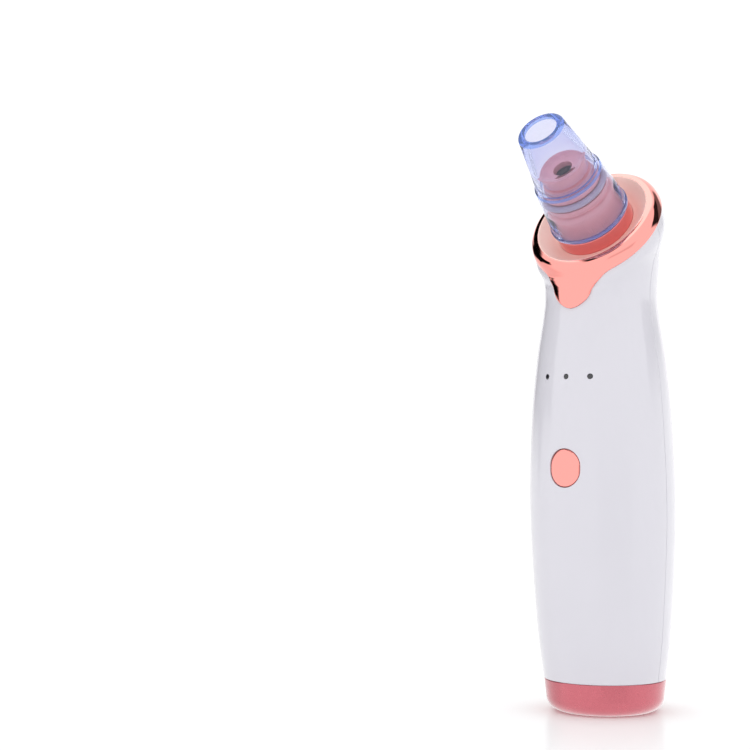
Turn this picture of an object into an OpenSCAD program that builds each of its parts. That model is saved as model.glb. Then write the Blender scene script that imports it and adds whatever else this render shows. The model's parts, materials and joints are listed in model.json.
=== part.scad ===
// Blackhead vacuum extractor: a handheld suction device for skin care.
// Millimetres. +Z is up along the handle and -Y is the front, with the button.
// The origin is the middle of the flat underside of the bottom cap.

/* [Handle] */
// Height of the seam between the bottom cap and the white shells
cap_seam_z = 10; // [9:0.5:11]
// Radius of the handle at the cap seam
foot_r = 18.8; // [18.6:0.1:19.2]
// Largest radius of the handle
belly_r = 22.5; // [22:0.1:23]
// Height of the widest place
belly_z = 60; // [56:1:64]
// Radius of the neck, just under the head
neck_r = 17.4; // [17.2:0.1:17.8]
// Wall thickness of the shells
wall = 1.8; // [1.6:0.1:1.9]

/* [Bottom cap] */
// Radius of the flat face that the device stands on
base_flat_r = 13; // [12.5:0.1:13.5]
// Wall thickness of the cap
cap_wall = 2; // [1.8:0.1:2.2]
// Width of the charge opening
charge_slot_w = 8.8; // [8.6:0.1:9.4]
// Depth of the charge opening, front to back
charge_slot_d = 4; // [3.8:0.1:4.4]

/* [Head] */
// Lean of the nozzle from upright, towards the front
nozzle_tilt = 50; // [50:0.5:50.5]
// Outer radius of the plated ring at its lower edge
ring_r = 21.5; // [21.4:0.1:21.8]
// Radius of the rim of the dished face
rim_r = 19; // [18.9:0.1:19.2]
// Radius of the boss where it comes out of the dish
boss_r = 12.4; // [12.2:0.1:12.4]

/* [Tip] */
// Radius of the opening that touches the skin
mouth_bore_r = 5.2; // [4.9:0.1:5.4]
// Outer radius of the tip at its mouth
mouth_r = 7.5; // [7.3:0.1:7.7]
// Distance of the mouth from the nozzle origin, along the nozzle
mouth_t = 46.8; // [46:0.1:48]
// Outer radius of the skirt at its lower edge
skirt_r = 12.85; // [12.8:0.05:13]

/* [Button] */
// Width of the button
button_w = 10.3; // [9.8:0.1:10.6]
// Height of the button
button_h = 11.5; // [11:0.1:11.8]
// Height of the middle of the button above the base
button_z = 75.4; // [74:0.1:77]
// Gap all round the button
button_gap = 0.15; // [0.12:0.01:0.2]
// How far the button presses in
button_travel = 0.4; // [0.3:0.05:0.5]

/* [Lights] */
// Height of the row of lights
led_z = 103; // [102:0.5:104]
// Distance between two lights
led_pitch = 7.55; // [7.3:0.05:7.7]
// Radius of a light window
led_r = 0.8; // [0.7:0.05:0.9]

/* [Hidden] */
$fn = 64;

// Sections of the handle from the cap up to the ring:
// [centre y, centre z, tilt, half width, half depth]
nozzle_y = -0.5;
nozzle_z = 146.1;
ring_t = 4.7;
collar_r = ring_r - 0.3;
SECTIONS = [
    [0, cap_seam_z, 0, foot_r, foot_r],
    [-0.4, 28, 0, 20.8, 20.8],
    [-0.95, belly_z, 0, belly_r, belly_r],
    [-1.6, 88, 0, 21.8, 21.8],
    [-1.8, 108, 0, 20, 20],
    [-1.9, 122, 0, neck_r + 0.5, neck_r + 0.5],
    [-1.9, 129.5, 6, neck_r, neck_r + 0.1],
    [-1.3, 138.1, 25, 18.3, 19.6],
    [-2.2, 144.7, 39, 21, 20.9],
    [nozzle_y - ring_t * sin(nozzle_tilt), nozzle_z + ring_t * cos(nozzle_tilt), nozzle_tilt,
        collar_r, collar_r]];
last_section = len(SECTIONS) - 1;
rows_per_section = 3;
shell_columns = 24;

// Circuit board and what is on it
board_front_y = -12.4;
board_t = 1.6;
board_back_y = board_front_y + board_t;
board_w = 20;
board_top_z = 107;
board_foot_w = 12;
board_foot_z = 3;
board_wide_z = 17;
screw_x = 6.5;
screw_zs = [22, 92];
post_r = 2;
plunger_r = 1.7;
plunger_front_y = -17.35;
plunger_back_y = -14.6;
switch_front_y = -15.9;

// Battery and pump
battery_r = 7;
battery_y = 4;
battery_z = [12, 60.5];
pump_y = 2;
motor_r = 10.1;
motor_z = [66, 96];
shaft_r = 1;
pump_r = 11;
cavity_r = 8.8;
pump_base_z = [96, 104.5];
diaphragm_t = 1.2;
valve_t = 2.2;
valve_z = pump_base_z[1] + diaphragm_t;
cover_z = valve_z + valve_t;
cover_h = 4.1;
cup_count = 3;
cup_ring_r = 5.2;
cup_r = 2.8;
cup_floor_z = 101.6;
first_cup = 90;
pump_screw_ring_r = 9.9;
pump_screw_r = 0.65;
pump_screw_foot_z = 99.5;
first_screw = 30;
motor_boss_r = 3;
motor_screw_x = 6;
motor_screw_r = 0.8;
crank_pin_x = 2.2;
nipple_r = 1.9;
nipple_bore_r = 1.1;
nipple_h = 6;
sleeve_r = 11.6;
sleeve_z = [71, 91];
// Clearance round a pin or a screw
slip = 0.05;
// How far a cutting shape runs past the face that it cuts
past = 1;

// Boss
bore_r = 3;
stem_r = 1.9;
stem_end_t = -9;
flange_r = 15;
flange_top_t = 4.2;
collar_top_t = 10.3;
sponge_floor_t = 22.9;
sponge_h = 6.4;
boss_top_t = 32.1;
seal_t = 22.6;
seal_ring_r = 9.2;
seal_wire_r = 1.05;
seal_seat_r = seal_ring_r - seal_wire_r - 0.02;
boss_seat_r = 10.95;
tip_seat_r = 11.05;

plastic_white = [0.93, 0.93, 0.95];
rose_gold = [0.93, 0.62, 0.55];
rose_red = [0.74, 0.38, 0.43];
board_green = [0.1, 0.4, 0.25];
steel = [0.7, 0.7, 0.72];
pump_grey = [0.3, 0.31, 0.33];

// A smooth curve through a list of knots; u counts knots
function knot(list, i) =
    i < 0 ? 2 * list[0] - list[1]
    : i >= len(list) ? 2 * list[len(list) - 1] - list[len(list) - 2]
    : list[i];
function smooth(list, u) =
    let (i = min(floor(u), len(list) - 2), f = u - i, a = knot(list, i - 1), b = knot(list, i))
    let (c = knot(list, i + 1), d = knot(list, i + 2))
    b + (c - a) * f / 2 + (2 * a - 5 * b + 4 * c - d) * f * f / 2
        + (3 * b - a - 3 * c + d) * f * f * f / 2;

// A point of the handle's skin; angle 0 is the front and inset goes inwards
function skin(u, angle, inset) =
    let (s = smooth(SECTIONS, u), across = (s[3] - inset) * sin(angle))
    let (along = (s[4] - inset) * cos(angle))
    [across, s[0] - along * cos(s[2]), s[1] - along * sin(s[2])];

// Radius and centre of the upright part of the handle at a height
RADII = [for (k = [0:50]) let (s = smooth(SECTIONS, k / 10)) [s[1], s[3]]];
CENTRES = [for (k = [0:50]) let (s = smooth(SECTIONS, k / 10)) [s[1], s[0]]];
function radius_at(z) = lookup(z, RADII);
function centre_at(z) = lookup(z, CENTRES);
function front_at(z, x, inset) = centre_at(z) - sqrt(pow(radius_at(z) - inset, 2) - x * x);

// Moves its children from the upright frame to the nozzle's
module along_nozzle() {
    translate([0, nozzle_y, nozzle_z])
        rotate([nozzle_tilt, 0, 0])
            children();
}

// A curved sheet between two grids of points, rows upwards and columns to +X
module sheet_between(outer, inner) {
    rows = len(outer);
    cols = len(outer[0]);
    function at(layer, i, j) = (layer * rows + i) * cols + j;
    points = concat([for (row = outer) each row], [for (row = inner) each row]);
    cells = [for (i = [0:rows - 2], j = [0:cols - 2]) [i, j]];
    outside = [for (c = cells) each [
        [at(0, c[0], c[1]), at(0, c[0] + 1, c[1]), at(0, c[0] + 1, c[1] + 1)],
        [at(0, c[0], c[1]), at(0, c[0] + 1, c[1] + 1), at(0, c[0], c[1] + 1)]]];
    inside = [for (c = cells) each [
        [at(1, c[0], c[1]), at(1, c[0] + 1, c[1] + 1), at(1, c[0] + 1, c[1])],
        [at(1, c[0], c[1]), at(1, c[0], c[1] + 1), at(1, c[0] + 1, c[1] + 1)]]];
    r = rows - 1;
    c = cols - 1;
    sides = [for (i = [0:r - 1]) each [
        [at(0, i, 0), at(1, i, 0), at(1, i + 1, 0), at(0, i + 1, 0)],
        [at(0, i, c), at(0, i + 1, c), at(1, i + 1, c), at(1, i, c)]]];
    ends = [for (j = [0:c - 1]) each [
        [at(0, 0, j), at(0, 0, j + 1), at(1, 0, j + 1), at(1, 0, j)],
        [at(0, r, j), at(1, r, j), at(1, r, j + 1), at(0, r, j + 1)]]];
    polyhedron(points, concat(outside, inside, sides, ends));
}

// Half of the handle's wall; middle is the angle that it faces
module half_shell(middle) {
    steps = last_section * rows_per_section;
    angles = [for (j = [0:shell_columns]) middle - 90 + 180 * j / shell_columns];
    grid = function(inset) [for (i = [0:steps])
        [for (a = angles) skin(i / rows_per_section, a, inset)]];
    sheet_between(grid(0), grid(wall));
}

// A tube swept along a route that never runs along X
module tube(route, outer_r, inner_r, sides, steps) {
    count = (len(route) - 1) * steps;
    rings = [for (i = [0:count])
        let (p = smooth(route, i / steps))
        let (q = smooth(route, min(i / steps + 0.02, len(route) - 1)))
        let (o = smooth(route, max(i / steps - 0.02, 0)), t = (q - o) / norm(q - o))
        let (n = cross(t, [1, 0, 0]), side = n / norm(n), up = cross(t, side))
        [for (r = [outer_r, inner_r]) [for (k = [0:sides - 1])
            p + r * (side * cos(360 * k / sides) + up * sin(360 * k / sides))]]];
    hollow = inner_r > 0;
    outer_points = [for (ring = rings) each ring[0]];
    inner_points = hollow ? [for (ring = rings) each ring[1]] : [];
    function at(layer, i, k) = (layer * (count + 1) + i) * sides + k % sides;
    cells = [for (i = [0:count - 1], k = [0:sides - 1]) [i, k]];
    outside = [for (c = cells) each [
        [at(0, c[0], c[1]), at(0, c[0], c[1] + 1), at(0, c[0] + 1, c[1] + 1)],
        [at(0, c[0], c[1]), at(0, c[0] + 1, c[1] + 1), at(0, c[0] + 1, c[1])]]];
    inside = hollow ? [for (c = cells) each [
        [at(1, c[0], c[1]), at(1, c[0] + 1, c[1] + 1), at(1, c[0], c[1] + 1)],
        [at(1, c[0], c[1]), at(1, c[0] + 1, c[1]), at(1, c[0] + 1, c[1] + 1)]]] : [];
    ends = hollow
        ? [for (k = [0:sides - 1]) each [
            [at(0, 0, k), at(1, 0, k), at(1, 0, k + 1), at(0, 0, k + 1)],
            [at(0, count, k), at(0, count, k + 1), at(1, count, k + 1), at(1, count, k)]]]
        : [[for (k = [sides - 1:-1:0]) at(0, 0, k)], [for (k = [0:sides - 1]) at(0, count, k)]];
    polyhedron(concat(outer_points, inner_points), concat(outside, inside, ends));
}

// A stadium standing up in XZ, from y = 0 towards -Y
module stadium(w, h, depth) {
    rotate([90, 0, 0])
        linear_extrude(depth)
            union() {
                for (side = [-1, 1])
                    translate([0, side * (h - w) / 2])
                        circle(d = w);
                square([w, h - w], center = true);
            }
}

// A cylinder along -Y
module front_rod(r, depth) {
    rotate([90, 0, 0])
        cylinder(h = depth, r = r);
}

// A cylinder on the pump's axis
module pump_disc(r, z, h) {
    translate([0, pump_y, z])
        cylinder(h = h, r = r);
}

// Copies of its children round the pump's axis, one for each cup
module round_pump(ring_r, start) {
    for (k = [0:cup_count - 1])
        translate([0, pump_y, 0])
            rotate([0, 0, start + 360 * k / cup_count])
                translate([ring_r, 0, 0])
                    children();
}

// The pump's long screw holes, from a height upwards
module pump_screw_holes(z, h) {
    round_pump(pump_screw_ring_r, first_screw)
        translate([0, 0, z])
            cylinder(h = h, r = pump_screw_r + slip);
}

// The two holes for the screws between the motor and the pump
module motor_screw_holes(z, h) {
    for (side = [-1, 1])
        translate([side * motor_screw_x, pump_y, z])
            cylinder(h = h, r = motor_screw_r + slip);
}

// A rib across the rear shell with a round seat for what it holds
module cradle_rib(z, seat_r, seat_y, half_w) {
    rib_t = 1.6;
    difference() {
        intersection() {
            translate([0, centre_at(z), z])
                cylinder(h = rib_t, r = radius_at(z) - wall / 2);
            translate([-half_w, seat_y + 2, z])
                cube([2 * half_w, 30, rib_t]);
        }
        translate([0, seat_y, z - 1])
            cylinder(h = rib_t + 2, r = seat_r + 0.1);
    }
}

module front_shell() {
    pilot_r = 0.85;
    pilot_depth = 3.6;
    color(plastic_white)
        difference() {
            union() {
                half_shell(0);
                for (z = screw_zs, side = [-1, 1])
                    translate([side * screw_x, board_front_y, z])
                        front_rod(post_r, board_front_y - front_at(z, screw_x, wall / 2));
            }
            for (z = screw_zs, side = [-1, 1])
                translate([side * screw_x, board_front_y + 0.1, z])
                    front_rod(pilot_r, pilot_depth);
            translate([0, board_front_y - 4, button_z])
                stadium(button_w + 2 * button_gap, button_h + 2 * button_gap, 10);
            for (k = [-1:1])
                translate([k * led_pitch, board_front_y - 4, led_z])
                    front_rod(led_r + 0.05, 10);
        }
}

module rear_shell() {
    color(plastic_white)
        union() {
            half_shell(180);
            for (z = [20, 52])
                cradle_rib(z, battery_r, battery_y, 10);
            for (z = [76, 85])
                cradle_rib(z, sleeve_r, pump_y, 13);
        }
}

module bottom_cap() {
    corner_h = 5;
    corner_w = 5.2;
    lip_r = foot_r - wall - 0.2;
    lip_t = 1.4;
    lip_h = 3;
    inner_r = lip_r - lip_t;
    outside = [for (a = [-90:10:0])
        [base_flat_r + corner_w * cos(a), corner_h + corner_h * sin(a)]];
    inside = [for (a = [0:-15:-90])
        [base_flat_r - cap_wall + (inner_r - base_flat_r + cap_wall) * cos(a),
            corner_h + (corner_h - cap_wall) * sin(a)]];
    color(rose_red)
        difference() {
            rotate_extrude()
                polygon(concat([[0, 0]], outside, [
                    [foot_r, cap_seam_z],
                    [lip_r, cap_seam_z],
                    [lip_r, cap_seam_z + lip_h],
                    [inner_r, cap_seam_z + lip_h]], inside, [[0, cap_wall]]));
            slot_side = (charge_slot_w - charge_slot_d) / 2;
            translate([0, board_back_y + 1.35, -1])
                linear_extrude(cap_wall + 2)
                    union() {
                        for (side = [-1, 1])
                            translate([side * slot_side, 0])
                                circle(d = charge_slot_d);
                        square([2 * slot_side, charge_slot_d], center = true);
                    }
        }
}

// Half angle of the tongue at each height of the handle's skin
TONGUE = [[5.12, 4], [5.2, 10], [5.35, 14], [5.6, 18], [6, 21.5], [6.33, 22.4], [6.67, 23.2],
    [7, 24], [7.33, 24.8], [7.67, 25.6], [8, 26.5], [8.6, 31], [9, 38]];

module head_ring() {
    tongue_t = 0.7;
    tongue_gap = 0.1;
    columns = 10;
    spigot_r = collar_r - wall - 0.2;
    // The row that runs up into the ring, at a depth within its wall
    root = function(angle, r) let (t = ring_t + 1.2)
        [r * sin(angle),
            nozzle_y - t * sin(nozzle_tilt) - r * cos(angle) * cos(nozzle_tilt),
            nozzle_z + t * cos(nozzle_tilt) - r * cos(angle) * sin(nozzle_tilt)];
    row = function(u, half, inset)
        [for (j = [0:columns]) skin(u, half * (2 * j / columns - 1), inset)];
    last_half = TONGUE[len(TONGUE) - 1][1];
    root_row = function(r)
        [for (j = [0:columns]) root(last_half * (2 * j / columns - 1), r)];
    color(rose_gold)
        union() {
            along_nozzle()
                rotate_extrude($fn = 96)
                    polygon([
                        [boss_r + 0.2, 5.8], [13.6, 6.15], [15, 7], [16.4, 8],
                        [rim_r - 1.6, 8.75], [rim_r - 0.8, 9.2], [rim_r, 9.35],
                        [rim_r + 0.8, 9.1], [rim_r + 1.5, 8.5], [ring_r - 0.4, 7.4],
                        [ring_r - 0.1, 6], [ring_r, ring_t],
                        [spigot_r, ring_t], [spigot_r - 0.9, 2.8], [spigot_r - 2, 2.8],
                        [spigot_r - 2, 6.2], [15.6, 5.2], [14.2, 4.6],
                        [boss_r + 0.2, 4.3]]);
            sheet_between(
                concat([for (s = TONGUE) row(s[0], s[1], -tongue_gap - tongue_t)],
                    [root_row(ring_r - 0.2)]),
                concat([for (s = TONGUE) row(s[0], s[1], -tongue_gap)],
                    [root_row(ring_r - 1.2)]));
        }
}

module suction_boss() {
    color(rose_gold)
        along_nozzle()
            rotate_extrude($fn = 96)
                polygon([
                    [bore_r, 31.2], [5, 31.3], [6.2, 31.7], [6.8, boss_top_t],
                    [7.25, boss_top_t], [7.45, 31.8], [7.45, 28.6], [6.9, 28.4],
                    [6.9, 28.1], [8, 27.9], [8, 26.3], [7.7, 26.1], [7.7, 25.8], [8.9, 25.6],
                    [8.9, seal_t + 1.3], [seal_seat_r, seal_t + 1.3],
                    [seal_seat_r, seal_t - 1.3], [9.8, seal_t - 1.3], [9.8, 19.8],
                    [9.5, 19.6], [9.5, 19.1], [10.3, 18.8], [boss_seat_r, 17.6],
                    [boss_seat_r, flange_top_t], [nipple_bore_r, flange_top_t],
                    [nipple_bore_r, sponge_floor_t], [bore_r, sponge_floor_t]]);
}

module boss_collar() {
    inner_r = boss_seat_r + 0.02;
    color(rose_gold)
        along_nozzle()
            rotate_extrude($fn = 96)
                polygon([
                    [inner_r, flange_top_t], [boss_r, flange_top_t],
                    [boss_r, collar_top_t - 0.3], [boss_r - 0.3, collar_top_t],
                    [inner_r, collar_top_t]]);
}

// The plate that holds the boss from inside, with the nipple for the tube
module boss_flange() {
    bottom_t = 2.4;
    color(rose_gold)
        along_nozzle()
            rotate_extrude($fn = 96)
                polygon([
                    [nipple_bore_r, flange_top_t], [flange_r, flange_top_t],
                    [flange_r, bottom_t], [stem_r + 1, bottom_t], [stem_r, 0],
                    [stem_r, stem_end_t], [nipple_bore_r, stem_end_t]]);
}

module boss_seal() {
    color([0.75, 0.75, 0.78])
        along_nozzle()
            translate([0, 0, seal_t])
                rotate_extrude($fn = 96)
                    translate([seal_ring_r, 0])
                        circle(r = seal_wire_r, $fn = 24);
}

module filter_sponge() {
    color([0.3, 0.28, 0.3])
        along_nozzle()
            translate([0, 0, sponge_floor_t + 0.1])
                cylinder(h = sponge_h, r = bore_r - 0.1);
}

module suction_tip() {
    color([0.72, 0.75, 0.95, 0.45])
        along_nozzle()
            rotate_extrude($fn = 96)
                polygon([
                    [mouth_bore_r, mouth_t], [mouth_r - 0.5, mouth_t],
                    [mouth_r, mouth_t - 0.5], [10.3, 27.9], [10.9, 27.4], [11, 26.7],
                    [11.1, 25.9], [skirt_r - 0.35, 12], [skirt_r, 11.7],
                    [skirt_r, 10.9], [skirt_r - 0.3, 10.6],
                    [tip_seat_r, 10.6], [tip_seat_r, 19], [9.7, 26], [8.9, 26.6],
                    [8.9, 28.5], [8.2, 33.6], [7.5, 34], [mouth_bore_r, mouth_t - 2.2]]);
}

module power_button() {
    face_r = radius_at(button_z) - 0.1;
    flange_y = -20.4;
    color(rose_gold)
        union() {
            intersection() {
                translate([0, flange_y, button_z])
                    stadium(button_w, button_h, 5);
                translate([0, centre_at(button_z), button_z - 10])
                    cylinder(h = 20, r = face_r, $fn = 128);
            }
            translate([0, flange_y + 0.9, button_z])
                stadium(button_w + 2, button_h + 2, 0.9);
            translate([0, plunger_front_y - 0.1, button_z])
                front_rod(1.6, plunger_front_y - 0.1 - flange_y);
        }
}

// A light pipe from its light to the handle's skin; place counts from the middle
module led_lens(place) {
    x = place * led_pitch;
    pipe_y = board_front_y - 1.2;
    skin_y = front_at(led_z, x, 0);
    inside_y = front_at(led_z, abs(x) + 1.6, wall) + 0.2;
    color([0.08, 0.08, 0.1])
        translate([x, pipe_y, led_z])
            union() {
                front_rod(led_r, pipe_y - skin_y);
                front_rod(1.5, pipe_y - inside_y);
            }
}

module led_lens_left() {
    led_lens(-1);
}

module led_lens_middle() {
    led_lens(0);
}

module led_lens_right() {
    led_lens(1);
}

module main_board() {
    color(board_green)
        translate([0, board_back_y, 0])
            rotate([90, 0, 0])
                linear_extrude(board_t)
                    difference() {
                        polygon([
                            [-board_foot_w / 2, board_foot_z], [board_foot_w / 2, board_foot_z],
                            [board_foot_w / 2, board_wide_z - 2], [board_w / 2, board_wide_z],
                            [board_w / 2, board_top_z], [-board_w / 2, board_top_z],
                            [-board_w / 2, board_wide_z], [-board_foot_w / 2, board_wide_z - 2]]);
                        for (z = screw_zs, side = [-1, 1])
                            translate([side * screw_x, z])
                                circle(r = 0.95);
                    }
}

module tact_switch() {
    side = 6;
    color([0.15, 0.15, 0.16])
        difference() {
            translate([-side / 2, switch_front_y, button_z - side / 2])
                cube([side, board_front_y - switch_front_y, side]);
            translate([0, plunger_back_y + button_travel + 0.2, button_z])
                front_rod(plunger_r + 0.1, 4);
        }
}

module switch_plunger() {
    color([0.85, 0.83, 0.78])
        translate([0, plunger_back_y, button_z])
            front_rod(plunger_r, plunger_back_y - plunger_front_y);
}

module status_leds() {
    color([0.95, 0.93, 0.8])
        for (k = [-1:1])
            translate([k * led_pitch - 1, board_front_y - 0.8, led_z - 0.65])
                cube([2, 0.8, 1.3]);
}

// A chip on the back of the board
module board_chip(z, w, h, t) {
    color([0.12, 0.12, 0.13])
        translate([-w / 2, board_back_y, z - h / 2])
            cube([w, t, h]);
}

module control_chip() {
    board_chip(86, 5, 5, 1);
}

module charge_chip() {
    board_chip(40, 5, 4, 1.4);
}

module usb_socket() {
    w = 7.5;
    d = 2.7;
    shell = 0.3;
    z = [1.4, 6.8];
    color(steel)
        translate([0, board_back_y, 0])
            union() {
                difference() {
                    translate([-w / 2, 0, z[0]])
                        cube([w, d, z[1] - z[0]]);
                    translate([-w / 2 + shell, shell, z[0] - 1])
                        cube([w - 2 * shell, d - 2 * shell, z[1] - z[0] - 0.2]);
                }
                translate([-2.2, d / 2 - 0.3, z[0] + 0.6])
                    cube([4.4, 0.6, z[1] - z[0] - 0.8]);
            }
}

module board_screws() {
    color(steel)
        for (z = screw_zs, side = [-1, 1])
            translate([side * screw_x, board_back_y + 1.1, z])
                union() {
                    front_rod(1.6, 1.1);
                    front_rod(0.8, 1.1 + board_t + 3);
                }
}

module battery_cell() {
    tab_r = 2.6;
    height = battery_z[1] - battery_z[0];
    color([0.2, 0.4, 0.75])
        translate([0, battery_y, battery_z[0]])
            union() {
                cylinder(h = height - 0.8, r = battery_r);
                cylinder(h = height, r = tab_r);
            }
}

module battery_pad() {
    back_y = 17.5;
    color([0.25, 0.25, 0.27])
        translate([-5, battery_y + battery_r, 26])
            cube([10, back_y - battery_y - battery_r, 22]);
}

lead_r = 0.55;
lead_sides = 8;

// Each lead is a hand-laid route
BATTERY_RED = [[0, 4, 61.1], [0.5, 2.4, 61.7], [2, -2, 61.9], [3, -6, 61.5], [3.5, -9.4, 61],
    [3.5, -10.75, 61]];
BATTERY_BLACK = [[0, 4, 11.3], [-1.5, 0.5, 11], [-3, -3.6, 12], [-3.5, -5, 16],
    [-3.5, -7, 22], [-3.5, -9.4, 26], [-3.5, -10.7, 26.2]];
MOTOR_LEAD = [[5, 0.4, 62.6], [5.5, -3, 62.4], [6.2, -6.6, 62.6], [6.5, -9.4, 64.4],
    [6.5, -10.7, 64.6]];

module battery_lead_red() {
    color([0.75, 0.1, 0.1])
        tube(BATTERY_RED, lead_r, 0, lead_sides, 3);
}

module battery_lead_black() {
    color([0.08, 0.08, 0.08])
        tube(BATTERY_BLACK, lead_r, 0, lead_sides, 3);
}

module motor_lead_red() {
    color([0.75, 0.1, 0.1])
        tube(MOTOR_LEAD, lead_r, 0, lead_sides, 3);
}

module motor_lead_black() {
    mirrored = [for (p = MOTOR_LEAD) [-p[0], p[1], p[2]]];
    color([0.08, 0.08, 0.08])
        tube(mirrored, lead_r, 0, lead_sides, 3);
}

module motor_can() {
    color(steel)
        difference() {
            union() {
                pump_disc(motor_r, motor_z[0], motor_z[1] - motor_z[0]);
                pump_disc(motor_boss_r, motor_z[1], 1.4);
            }
            pump_disc(shaft_r + slip, motor_z[0] - past, motor_z[1] - motor_z[0] + 10);
            motor_screw_holes(motor_z[1] - 3.4, 3.4 + past);
        }
}

module motor_end_cap() {
    cap_t = 2.5;
    tab_t = 0.5;
    color([0.12, 0.12, 0.13])
        difference() {
            union() {
                pump_disc(motor_r - 0.3, motor_z[0] - cap_t, cap_t);
                for (side = [-1, 1])
                    translate([side * 5 - tab_t / 2, pump_y - 1, motor_z[0] - cap_t - 1.7])
                        cube([tab_t, 2.2, 2]);
            }
            pump_disc(shaft_r + slip, motor_z[0] - 1.4, 1.4 + past);
        }
}

module motor_shaft() {
    foot_z = motor_z[0] - 1.2;
    top_z = 99.4;
    color(steel)
        pump_disc(shaft_r, foot_z, top_z - foot_z);
}

module motor_screws() {
    shank_h = 4.6;
    color(steel)
        for (side = [-1, 1])
            translate([side * motor_screw_x, pump_y, motor_z[1] - 3])
                union() {
                    cylinder(h = shank_h, r = motor_screw_r);
                    translate([0, 0, shank_h])
                        cylinder(h = 0.9, r = 1.5);
                }
}

module pump_eccentric() {
    foot_z = 97.9;
    height = 2.2;
    color([0.9, 0.9, 0.88])
        difference() {
            pump_disc(3.8, foot_z, height);
            pump_disc(shaft_r, foot_z - past, height + 2 * past);
            translate([crank_pin_x, pump_y, foot_z + height / 2])
                cylinder(h = height, r = 0.7);
        }
}

module wobble_plate() {
    plate_t = 1;
    plate_z = cup_floor_z - plate_t;
    arm_w = 2.4;
    color([0.9, 0.9, 0.88])
        union() {
            pump_disc(2, plate_z, plate_t);
            round_pump(0, first_cup)
                translate([0, -arm_w / 2, plate_z])
                    cube([cup_ring_r, arm_w, plate_t]);
            round_pump(cup_ring_r, first_cup)
                translate([0, 0, plate_z])
                    cylinder(h = plate_t, r = 1.8);
        }
}

module pump_diaphragm() {
    cup_wall = 0.6;
    color([0.15, 0.15, 0.16])
        difference() {
            union() {
                pump_disc(pump_r - 0.2, pump_base_z[1], diaphragm_t);
                round_pump(cup_ring_r, first_cup)
                    translate([0, 0, cup_floor_z])
                        cylinder(h = pump_base_z[1] - cup_floor_z + 0.5, r = cup_r);
            }
            round_pump(cup_ring_r, first_cup)
                translate([0, 0, cup_floor_z + cup_wall])
                    cylinder(h = 5, r = cup_r - cup_wall);
            pump_screw_holes(pump_base_z[1] - past, diaphragm_t + 2 * past);
        }
}

module valve_plate() {
    port_r = 0.5;
    color(pump_grey)
        difference() {
            pump_disc(pump_r, valve_z, valve_t);
            pump_disc(nipple_bore_r, valve_z - past, valve_t + 2 * past);
            round_pump(cup_ring_r, first_cup)
                translate([0, 0, valve_z - past])
                    cylinder(h = valve_t + 2 * past, r = port_r);
            pump_screw_holes(valve_z - past, valve_t + 2 * past);
        }
}

module pump_base() {
    floor_t = 1.5;
    color(pump_grey)
        difference() {
            pump_disc(pump_r, pump_base_z[0], pump_base_z[1] - pump_base_z[0]);
            pump_disc(cavity_r, pump_base_z[0] + floor_t, 10);
            pump_disc(motor_boss_r + 0.1, pump_base_z[0] - past, floor_t + 2 * past);
            motor_screw_holes(pump_base_z[0] - past, floor_t + 2 * past);
            pump_screw_holes(pump_screw_foot_z - 0.5, 6);
        }
}

module pump_cover() {
    exhaust_x = 6.5;
    exhaust_h = 3;
    shoulder = 0.8;
    manifold_h = 2.4;
    color(pump_grey)
        difference() {
            union() {
                pump_disc(pump_r, cover_z, cover_h);
                pump_disc(nipple_r, cover_z, cover_h + nipple_h);
                pump_disc(nipple_r + shoulder, cover_z, cover_h + shoulder);
                translate([exhaust_x, pump_y, cover_z])
                    cylinder(h = cover_h + exhaust_h, r = 1.5);
            }
            pump_disc(3.4, cover_z - past, manifold_h + past);
            pump_disc(nipple_bore_r, cover_z, cover_h + nipple_h + past);
            translate([exhaust_x, pump_y, cover_z - past])
                cylinder(h = cover_h + exhaust_h + 2 * past, r = 0.7);
            pump_screw_holes(cover_z - past, cover_h + 2 * past);
        }
}

module pump_screws() {
    top_z = cover_z + cover_h;
    color(steel)
        round_pump(pump_screw_ring_r, first_screw)
            union() {
                translate([0, 0, pump_screw_foot_z])
                    cylinder(h = top_z - pump_screw_foot_z, r = pump_screw_r);
                translate([0, 0, top_z])
                    cylinder(h = 0.9, r = 1.05);
            }
}

module pump_sleeve() {
    color([0.2, 0.2, 0.22])
        difference() {
            pump_disc(sleeve_r, sleeve_z[0], sleeve_z[1] - sleeve_z[0]);
            pump_disc(motor_r + 0.02, sleeve_z[0] - past, sleeve_z[1] - sleeve_z[0] + 2 * past);
        }
}

// A point on the nozzle's axis
function on_axis(t) =
    [0, nozzle_y - t * sin(nozzle_tilt), nozzle_z + t * cos(nozzle_tilt)];

module intake_tube() {
    start_z = cover_z + cover_h + 1.2;
    route = [[0, pump_y, start_z], [0, pump_y, start_z + 2.8], [0, pump_y + 0.1, start_z + 5.8],
        [0, 3.6, 123.8], [0, 6.5, 127.6], [0, 9, 131.6], [0, 9.7, 135.2], on_axis(-12),
        on_axis(-9), on_axis(-6.8), on_axis(-4.6)];
    color([0.9, 0.88, 0.85])
        tube(route, 3.2, nipple_r + 0.05, 12, 2);
}

front_shell();
rear_shell();
bottom_cap();
head_ring();
suction_boss();
boss_collar();
boss_flange();
boss_seal();
filter_sponge();
suction_tip();
power_button();
led_lens_left();
led_lens_middle();
led_lens_right();
main_board();
tact_switch();
switch_plunger();
status_leds();
control_chip();
charge_chip();
usb_socket();
board_screws();
battery_cell();
battery_pad();
battery_lead_red();
battery_lead_black();
motor_can();
motor_end_cap();
motor_shaft();
motor_lead_red();
motor_lead_black();
pump_eccentric();
wobble_plate();
pump_diaphragm();
valve_plate();
pump_base();
pump_cover();
motor_screws();
pump_screws();
pump_sleeve();
intake_tube();
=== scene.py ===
import json
import math

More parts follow.
